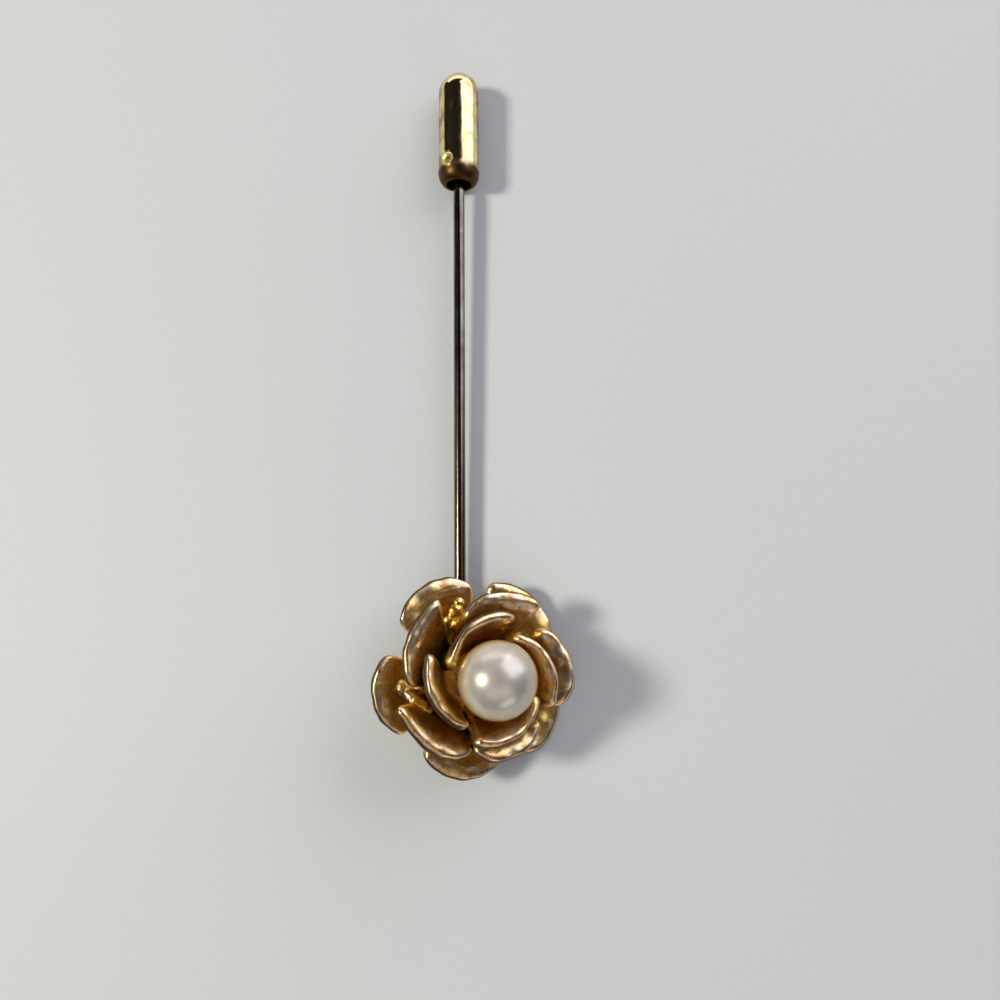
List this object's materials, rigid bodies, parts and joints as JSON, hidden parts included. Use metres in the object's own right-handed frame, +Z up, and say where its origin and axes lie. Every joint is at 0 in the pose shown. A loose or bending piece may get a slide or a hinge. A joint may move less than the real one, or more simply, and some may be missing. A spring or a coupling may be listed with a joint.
{
  "type": "stick pin",
  "caption": "Rose-shaped stick pin: layered cast petals round a pearl, on a straight wire with a pull-off bullet clutch over its sharp point.",
  "frame": {"origin": "middle of the bounding box on the table that the pin lies on", "axes": "+Y along the wire from the flower toward the point, +Z up from the table, +X the side the flower leans to"},
  "size_m": [0.0178, 0.0692, 0.0133],
  "materials": {
    "petal_gold": "antiqued, worn cast gold plate",
    "pearl": "pearl lustre lacquer on a glass bead",
    "stem_metal": "drawn and darkened",
    "clutch_gold": "polished gold plate"
  },
  "bodies": {
    "pin": {"outer_petals": "petal_gold", "middle_petals": "petal_gold", "inner_petals": "petal_gold", "pearl": "pearl", "pin_stem": "stem_metal"},
    "clutch": {"clutch": "clutch_gold"}
  },
  "joints": [
    {"name": "clutch_slide", "type": "slide", "parent": "pin", "child": "clutch", "axis": [0, 0.9998, 0.0184], "range_m": [0, 0.02]}
  ]
}
